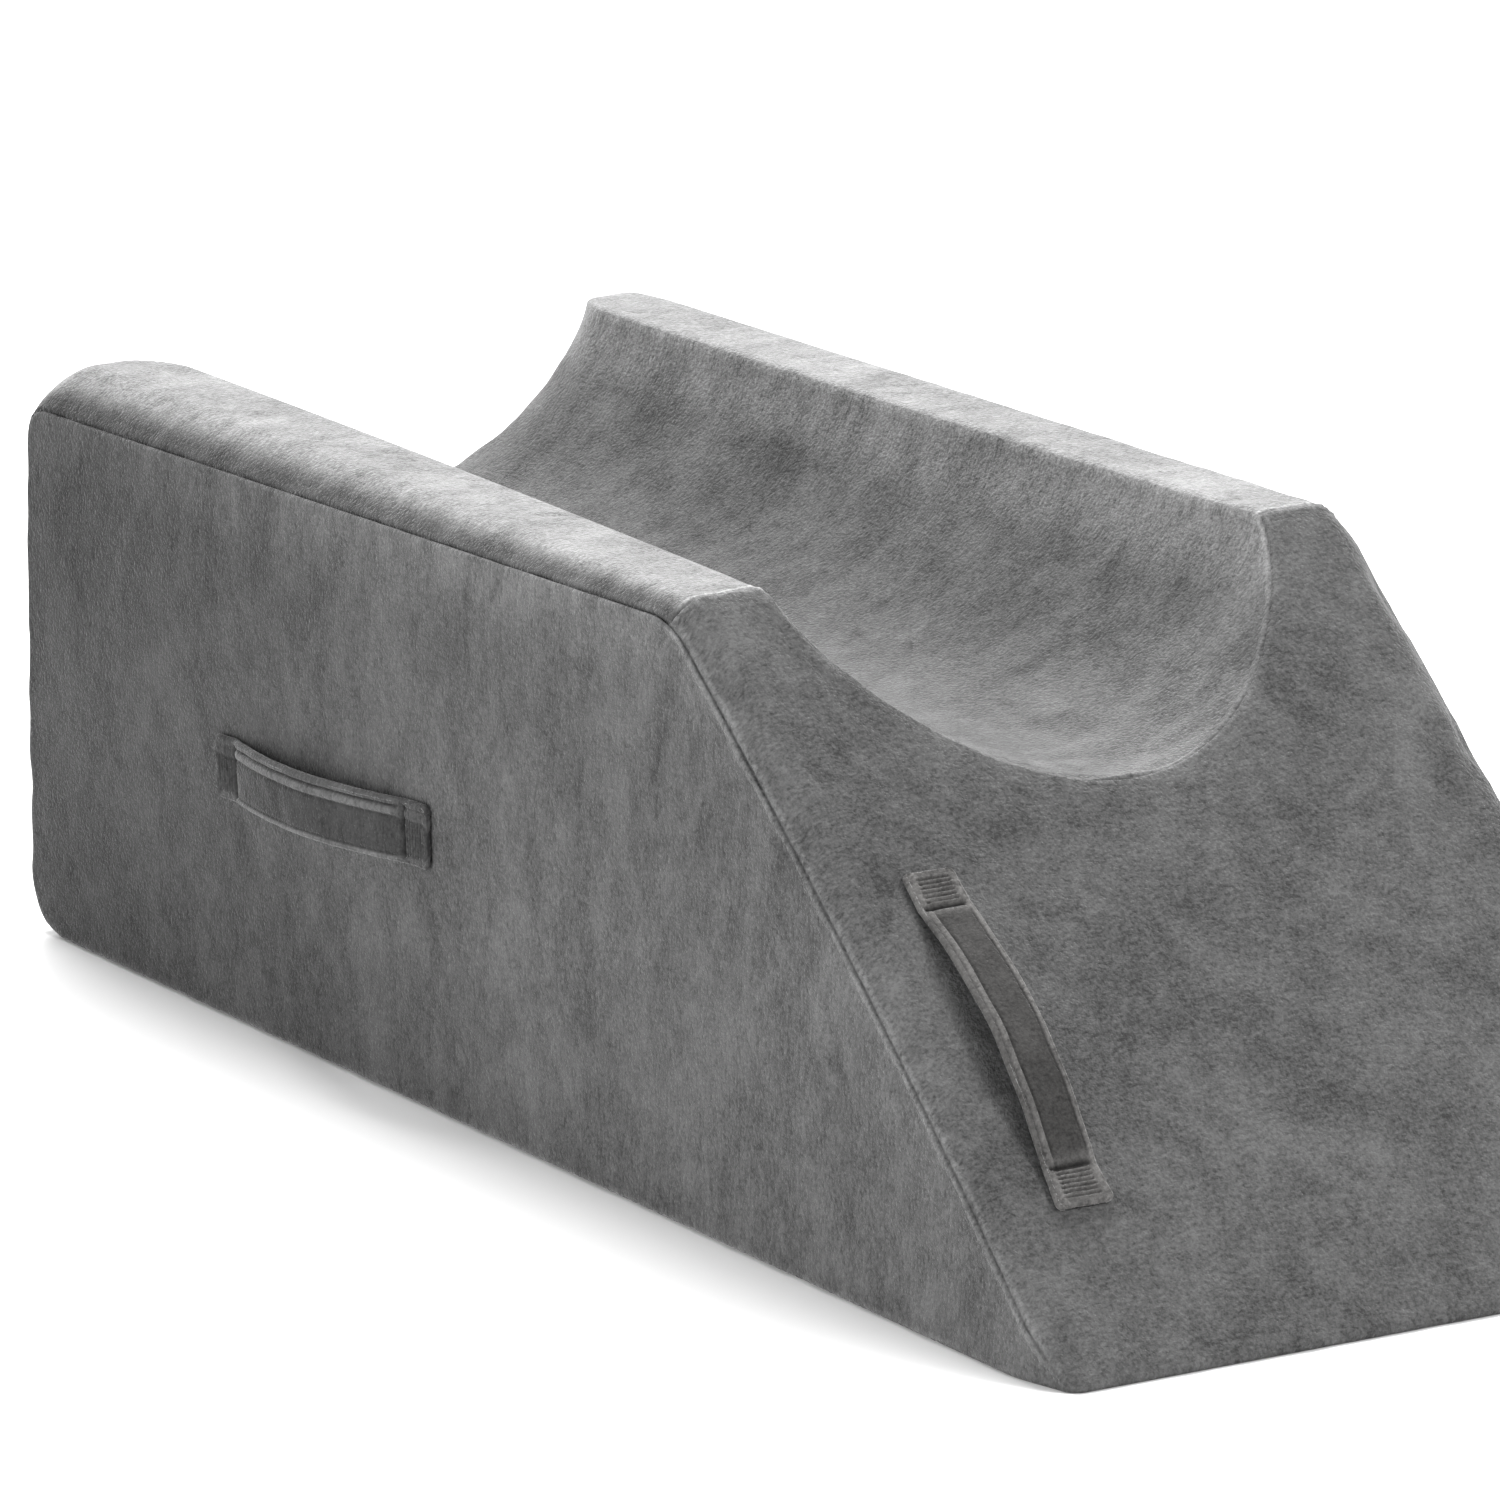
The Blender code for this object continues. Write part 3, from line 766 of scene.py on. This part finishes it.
# Painted light along the tops of the walls, fading out towards the channel.
painted_top_light = over_band(from_side, TOP_BAND) * (1.0 - over_band(from_side, CHANNEL_BAND))
cover_painted_light[on_top] += (TOP_PAINTED_LIGHT - cover_painted_light[on_top]) * painted_top_light[on_top]
cover_painted_light[in_channel] = np.maximum(cover_painted_light[in_channel], CHANNEL_PAINTED_LIGHT)
cover_painted_light[on_ramp] = RAMP_PAINTED_LEVEL

for index, vert in enumerate(cover_mesh.verts):
    place = vert.co.copy()
    near, found, gap = seam_tree.find(place)
    if gap > SEAM_REACH:
        continue
    key, along, heading = seam_runs[found]
    off = place - near
    distance = (off - heading * off.dot(heading)).length
    along += off.dot(heading)
    seam_seed = SEED_STEP * (key[0] * 4 + key[1] * 2 + key[2])
    pull = 1.0 + PULL_CHANGE * noise.noise(Vector((along * PULL_SCALE, seam_seed, PULL_SEED)))
    pull *= toe_pull(place)
    in_groove = math.exp(-((distance / GROOVE_WIDTH) ** 2))
    on_lip = math.exp(-(((distance - LIP_OUT) / LIP_WIDTH) ** 2))
    groove_share, lip_share, highlight_share = seam_look(key)
    # Across the channel the fold's painted highlight is weaker; elsewhere its lips and painted
    # highlight come and go with the stitches.
    if key == FOLD and from_side[index] >= 1.0:
        highlight_share *= CHANNEL_FOLD_HIGHLIGHT
    elif key == FOLD:
        stitch = 0.5 + 0.5 * math.cos(2 * math.pi * along / STITCH_PITCH)
        lip_share *= STITCH_LIP[0] + STITCH_LIP[1] * stitch
        highlight_share *= STITCH_HIGHLIGHT[0] + STITCH_HIGHLIGHT[1] * stitch
    groove = -SEAM_GROOVE * groove_share * pull * in_groove
    lip = SEAM_LIP * lip_share * pull * on_lip
    # Painted highlight on the lips and painted shade in the groove, as a factor on the colour.
    painted_light = LIP_PAINTED_HIGHLIGHT * highlight_share * on_lip - GROOVE_PAINTED_SHADE * groove_share * in_groove
    cover_painted_light[index] *= 1.0 + pull * painted_light
    fade = math.exp(-distance / PUCKER_REACH)
    rise = min(distance / PUCKER_START, 1.0)
    crimp = Vector((along * PUCKER_SCALE, seam_seed, distance * PUCKER_SPREAD))
    pucker = PUCKER * fade * rise * noise.noise(crimp)
    dimple = DIMPLE * rise * math.exp(-((distance / DIMPLE_REACH) ** 2))
    dimple *= noise.noise(place * DIMPLE_SCALE)
    shift = groove + lip + pucker + dimple
    if base_to_top[index] <= 0.0:
        shift = min(shift, 0.0)
    vert.co = place + vert.normal * shift
for vert in cover_mesh.verts:
    vert.co.z = max(vert.co.z, 0.0)

cover_plush = plush_material(
    "cover_plush", PLUSH_DARK, PLUSH_LIGHT, PLUSH_SHEEN, PLUSH_GRAIN_DEPTH
)
cover_tree = BVHTree.FromBMesh(cover_mesh)
cushion_cover = mesh_object(cover_mesh, "cushion_cover", cover_plush, cover_painted_light)
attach(cushion_cover, "root")
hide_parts("cushion")

# Carry handles: a strip of the same plush folded to a flat tube, with two rolled lips along
# its open edge and one along its fold, sewn down at a tab at each end by rows of stitching
# that press it into ribs. It bows off the panel between them, so that it can be gripped.
SIDE_HANDLE_LENGTH = 0.1315
SIDE_HANDLE_WIDTH = 0.0206
SIDE_HANDLE_CENTRE = (-0.1086, 0.0865)
SIDE_HANDLE_TILT = 0.041  # radians
SIDE_ROLLS = (0.0027, 0.0034)
SIDE_SPLIT = 1.0
SIDE_TAB_FLARE = 0.0
# How light the side strap's tabs are drawn, as a factor on the colour.
SIDE_TAB_LIGHTNESS = 1.35
SIDE_HANDLE_DARK = (0.0190, 0.0190, 0.0190, 1.0)
SIDE_HANDLE_LIGHT = (0.054, 0.054, 0.054, 1.0)

RAMP_HANDLE_LENGTH = 0.1185
RAMP_HANDLE_WIDTH = 0.0182
RAMP_HANDLE_DOWN = 0.1672
RAMP_HANDLE_ACROSS = -0.0867
RAMP_ROLLS = (0.0019, 0.0024)
RAMP_SPLIT = 0.35
RAMP_TAB_FLARE = 0.0010
# How light the ramp strap's tabs are drawn, as a factor on the colour.
RAMP_TAB_LIGHTNESS = 3.2
RAMP_HANDLE_DARK = (0.0217, 0.0212, 0.0208, 1.0)
RAMP_HANDLE_LIGHT = (0.0595, 0.058, 0.0568, 1.0)

HANDLE_SHEEN = 0.45
HANDLE_GRAIN_DEPTH = 0.0005
HANDLE_GAP = 0.0068
HANDLE_SEAT = 0.0003
HANDLE_MIDDLE = 0.0018
FOLD_BEAD = 0.0021
BEAD_FLOOR = 0.0005
BEAD_SETTLE = 0.0012
THIN_EDGE = 0.0002
CREASE_WIDTH = 0.0004
CREASE_FADE = 0.6
LIPS_MEET = (0.4, 0.5)  # shares of the back and the front roll, where the two touch
# Painted highlight on the back roll, the front roll and the fold's bead, and painted shade in
# the creases beside them.
BACK_ROLL_HIGHLIGHT = 0.65
FRONT_ROLL_HIGHLIGHT = 1.3
FOLD_BEAD_HIGHLIGHT = 1.8
CREASE_PAINTED_SHADE = 0.7

TAB_LENGTH = 0.0125
TAB_THICKNESS = 0.0022
TAB_CORNER = 0.0022
TAB_BORDER = 0.0030
TAB_FULLNESS = 0.45
TAB_BLEND = 0.006
RIB_COUNT = 8
RIB_HEIGHT = 0.0010
RIB_SINK = 0.75
RIB_END = 0.0012
RIB_BLEND = 0.0008
# Painted light and shade on the tabs' ribs: lighter on the ridges, darker between them.
RIB_PAINTED_LIGHT = 1.1
RIB_MID_TONE = 0.45
JOINT_GROOVE = 0.0013
JOINT_OUT = 0.0008
JOINT_WIDTH = 0.0009
JOINT_EDGE = 0.0012
JOINT_BLEND = 0.0016
# Painted shade in the stitched groove at each joint.
JOINT_PAINTED_SHADE = 0.8

CRUMPLE = 0.00025
CRUMPLE_SCALE = (650.0, 6.0)  # per metre along the strip, and across its half width
CRUMPLE_PAST_TAB = 0.001
CRUMPLE_BLEND = 0.002
SWAY = 0.0004
SWAY_SCALE = (45.0, 1.3)
SWAY_BLEND = 0.02
HANDLE_SEED = 90.0

STEPS_PER_RIB = 6
JOINT_STEPS = (0.0, 0.0004, 0.0008, 0.0012, 0.0018, 0.0026)
ARCH_SPACING = 0.0015
ACROSS_STEPS = 60
THICK_STEPS = 8
EDGE_CROWDING = 0.55


def handle_stations(length):
    """Distances along a handle, close enough in the tabs to carry their ribs."""
    rib_steps = RIB_COUNT * STEPS_PER_RIB
    tab = [TAB_LENGTH * i / rib_steps for i in range(rib_steps)]
    joint = [TAB_LENGTH + step for step in JOINT_STEPS]
    arch = length - 2 * joint[-1]
    count = round(arch / ARCH_SPACING)
    middle = [joint[-1] + arch * i / count for i in range(1, count)]
    ends = tab + joint
    return ends + middle + [length - s for s in ends[::-1]]


def roll(width, across):
    """Height over its own middle of a rolled edge, at a distance across it."""
    return math.sqrt(max((0.5 * width) ** 2 - (0.5 * width - across) ** 2, 0.0))


def eased_over(value, blend):
    """smooth_step for one number: 0 at 0 and 1 at the end of the blend."""
    return float(smooth_step(value / blend))


def open_edge(from_edge, rolls, split):
    """The two rolled lips of the open edge: their height, where they end, their painted
    highlight.
    """
    back_roll, front_roll = rolls
    front = roll(front_roll, from_edge - back_roll)
    height = max(roll(back_roll, from_edge), front, BEAD_FLOOR)
    if LIPS_MEET[0] * back_roll < from_edge < back_roll + LIPS_MEET[1] * front_roll:
        height = max(height, (1.0 - split) * 0.5 * back_roll)
    painted_light = BACK_ROLL_HIGHLIGHT if from_edge < back_roll else FRONT_ROLL_HIGHLIGHT
    painted_light *= 1.0 - eased_over(from_edge - back_roll - front_roll, CREASE_WIDTH)
    return height, (back_roll, back_roll + front_roll), painted_light


def folded_edge(from_edge):
    """The one bead of the fold: its height, where it ends, its painted highlight."""
    height = max(roll(FOLD_BEAD, from_edge), BEAD_FLOOR)
    painted_light = FOLD_BEAD_HIGHLIGHT * (1.0 - eased_over(from_edge - FOLD_BEAD, CREASE_WIDTH))
    return height, (FOLD_BEAD, FOLD_BEAD), painted_light


def handle_section(s, t, length, width, flare, split, rolls, tab_lightness):
    """The folded strip's shape at a distance along it and a share across, and the painted light
    and shade in its colour.
    """
    to_end = min(s, length - s)
    phase = min(to_end / TAB_LENGTH, 1.0)
    arch = min(max((to_end - TAB_LENGTH) / (length - 2 * TAB_LENGTH), 0.0), 0.5)
    lift = HANDLE_GAP * math.sin(math.pi * arch)
    full = TAB_FULLNESS + (1.0 - TAB_FULLNESS) * eased_over(to_end - TAB_LENGTH, TAB_BLEND)
    half_width = width / 2 + (flare * (1.0 - phase) if s > length / 2 else 0.0)
    if to_end < TAB_CORNER:
        half_width -= TAB_CORNER - math.sqrt(TAB_CORNER ** 2 - (TAB_CORNER - to_end) ** 2)
    from_edge = half_width * (1.0 - abs(t))
    from_rim = min(from_edge, to_end + THIN_EDGE)

    # The strip pressed flat, as in a tab, and arched, as between the tabs.
    pressed = 0.5 * TAB_THICKNESS
    bead = pressed + (0.5 * (rolls[0] if t > 0.0 else FOLD_BEAD) - pressed) * full
    in_rim = from_rim < bead
    flat = roll(2 * bead, from_rim) if in_rim else bead
    arched, creases, painted_light = (
        open_edge(from_edge, rolls, split) if t > 0.0 else folded_edge(from_edge)
    )
    if from_edge > creases[1]:
        settle = eased_over(from_edge - creases[1], BEAD_SETTLE)
        arched = BEAD_FLOOR + (0.5 * HANDLE_MIDDLE - BEAD_FLOOR) * settle
    at_rim = min(roll(2 * bead, from_rim) / bead, 1.0) if in_rim else 1.0
    body = max(flat + (arched - flat) * full, THIN_EDGE) * at_rim
    core = pressed + (0.5 * rolls[1] - pressed) * full

    # Painted shade in the creases beside the lips, and a painted highlight on the lips
    # themselves.
    beside = [math.exp(-(((from_edge - at) / CREASE_WIDTH) ** 2)) for at in creases]
    beside = max(beside[0] * split, beside[1]) * ((1.0 + CREASE_FADE) * full - CREASE_FADE)
    nap_and_painted_light = (1.0 + painted_light) * (1.0 - CREASE_PAINTED_SHADE * beside)
    relief = 0.0
    if to_end < TAB_LENGTH:
        ribbed = eased_over(min(from_edge, to_end + RIB_END) - TAB_BORDER, RIB_BLEND)
        ridge = 0.5 * (1.0 - math.cos(2 * math.pi * RIB_COUNT * phase))
        relief = RIB_HEIGHT * (ridge - RIB_SINK) * ribbed
        # Painted highlight on the ribs' ridges and painted shade between them.
        tab_lightness += RIB_PAINTED_LIGHT * (ridge - RIB_MID_TONE) * ribbed
    nap_and_painted_light = tab_lightness + (nap_and_painted_light - tab_lightness) * full
    at_joint = math.exp(-(((to_end - TAB_LENGTH - JOINT_OUT) / JOINT_WIDTH) ** 2))
    at_joint *= eased_over(from_edge - JOINT_EDGE, JOINT_BLEND)
    relief -= JOINT_GROOVE * at_joint
    # Painted shade in the joint's groove.
    nap_and_painted_light *= 1.0 - JOINT_PAINTED_SHADE * at_joint
    return lift + core, half_width, bead, body, relief, nap_and_painted_light


def make_handle(
    name, length, width, flare, split, rolls, tab_lightness, centre, along, across, normal, material
):
    """A folded strip that bows over the panel between its two sewn-down tabs."""
    stations = handle_stations(length)
    mesh = gridded_cube((len(stations) - 1, ACROSS_STEPS, THICK_STEPS))
    painted_light_factors = []
    for vert in mesh.verts:
        s = stations[round(vert.co.x * (len(stations) - 1))]
        t = 2.0 * vert.co.y - 1.0
        t = math.sin(0.5 * math.pi * t) * EDGE_CROWDING + t * (1.0 - EDGE_CROWDING)
        u = 2.0 * vert.co.z - 1.0
        lift, half_width, bead, body, relief, nap_and_painted_light = handle_section(
            s, t, length, width, flare, split, rolls, tab_lightness
        )
        painted_light_factors.append(nap_and_painted_light)
        side = t * half_width
        height = body * u
        if abs(t) > 0.9999:
            rim_angle = 0.5 * math.pi * u
            height = bead * math.sin(rim_angle)
            side -= math.copysign(bead * (1.0 - math.cos(rim_angle)), t)
        to_end = min(s, length - s)
        raised = HANDLE_SEAT + lift + height
        seed = length * HANDLE_SEED
        if u > 0.0:
            crumple = noise.noise(Vector((s * CRUMPLE_SCALE[0], t * CRUMPLE_SCALE[1], seed)))
            crumple *= eased_over(TAB_LENGTH + CRUMPLE_PAST_TAB - to_end, CRUMPLE_BLEND)
            raised += (relief + CRUMPLE * crumple) * u
        sway = noise.noise(Vector((s * SWAY_SCALE[0], t * SWAY_SCALE[1], seed)))
        raised += SWAY * sway * eased_over(to_end - TAB_LENGTH, SWAY_BLEND)
        seat_at = centre + along * (s - length / 2) + across * side
        seat = cover_tree.ray_cast(seat_at + normal * HALF_WIDTH, -normal)[0]
        vert.co = seat + normal * raised
    return mesh_object(mesh, name, material, painted_light_factors)


side_handle_plush = plush_material(
    "side_handle_plush", SIDE_HANDLE_DARK, SIDE_HANDLE_LIGHT, HANDLE_SHEEN, HANDLE_GRAIN_DEPTH
)
side_strap = make_handle(
    "side_strap",
    length=SIDE_HANDLE_LENGTH,
    width=SIDE_HANDLE_WIDTH,
    flare=SIDE_TAB_FLARE,
    split=SIDE_SPLIT,
    rolls=SIDE_ROLLS,
    tab_lightness=SIDE_TAB_LIGHTNESS,
    centre=Vector((SIDE_HANDLE_CENTRE[0], -HALF_WIDTH, SIDE_HANDLE_CENTRE[1])),
    along=Vector((math.cos(SIDE_HANDLE_TILT), 0.0, math.sin(SIDE_HANDLE_TILT))),
    across=Vector((-math.sin(SIDE_HANDLE_TILT), 0.0, math.cos(SIDE_HANDLE_TILT))),
    normal=Vector((0.0, -1.0, 0.0)),
    material=side_handle_plush,
)
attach(side_strap, "root")
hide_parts("side_handle")

ramp_handle_plush = plush_material(
    "ramp_handle_plush", RAMP_HANDLE_DARK, RAMP_HANDLE_LIGHT, HANDLE_SHEEN, HANDLE_GRAIN_DEPTH
)
ramp_top = Vector((ramp_top_x, RAMP_HANDLE_ACROSS, KNEE_SEAM_HEIGHT))
down_ramp = Vector((math.cos(RAMP_ANGLE), 0.0, -math.sin(RAMP_ANGLE)))
ramp_strap = make_handle(
    "ramp_strap",
    length=RAMP_HANDLE_LENGTH,
    width=RAMP_HANDLE_WIDTH,
    flare=RAMP_TAB_FLARE,
    split=RAMP_SPLIT,
    rolls=RAMP_ROLLS,
    tab_lightness=RAMP_TAB_LIGHTNESS,
    centre=ramp_top + down_ramp * RAMP_HANDLE_DOWN,
    along=down_ramp,
    across=Vector((0.0, -1.0, 0.0)),
    normal=Vector((math.sin(RAMP_ANGLE), 0.0, math.cos(RAMP_ANGLE))),
    material=ramp_handle_plush,
)
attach(ramp_strap, "root")
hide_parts("ramp_handle")
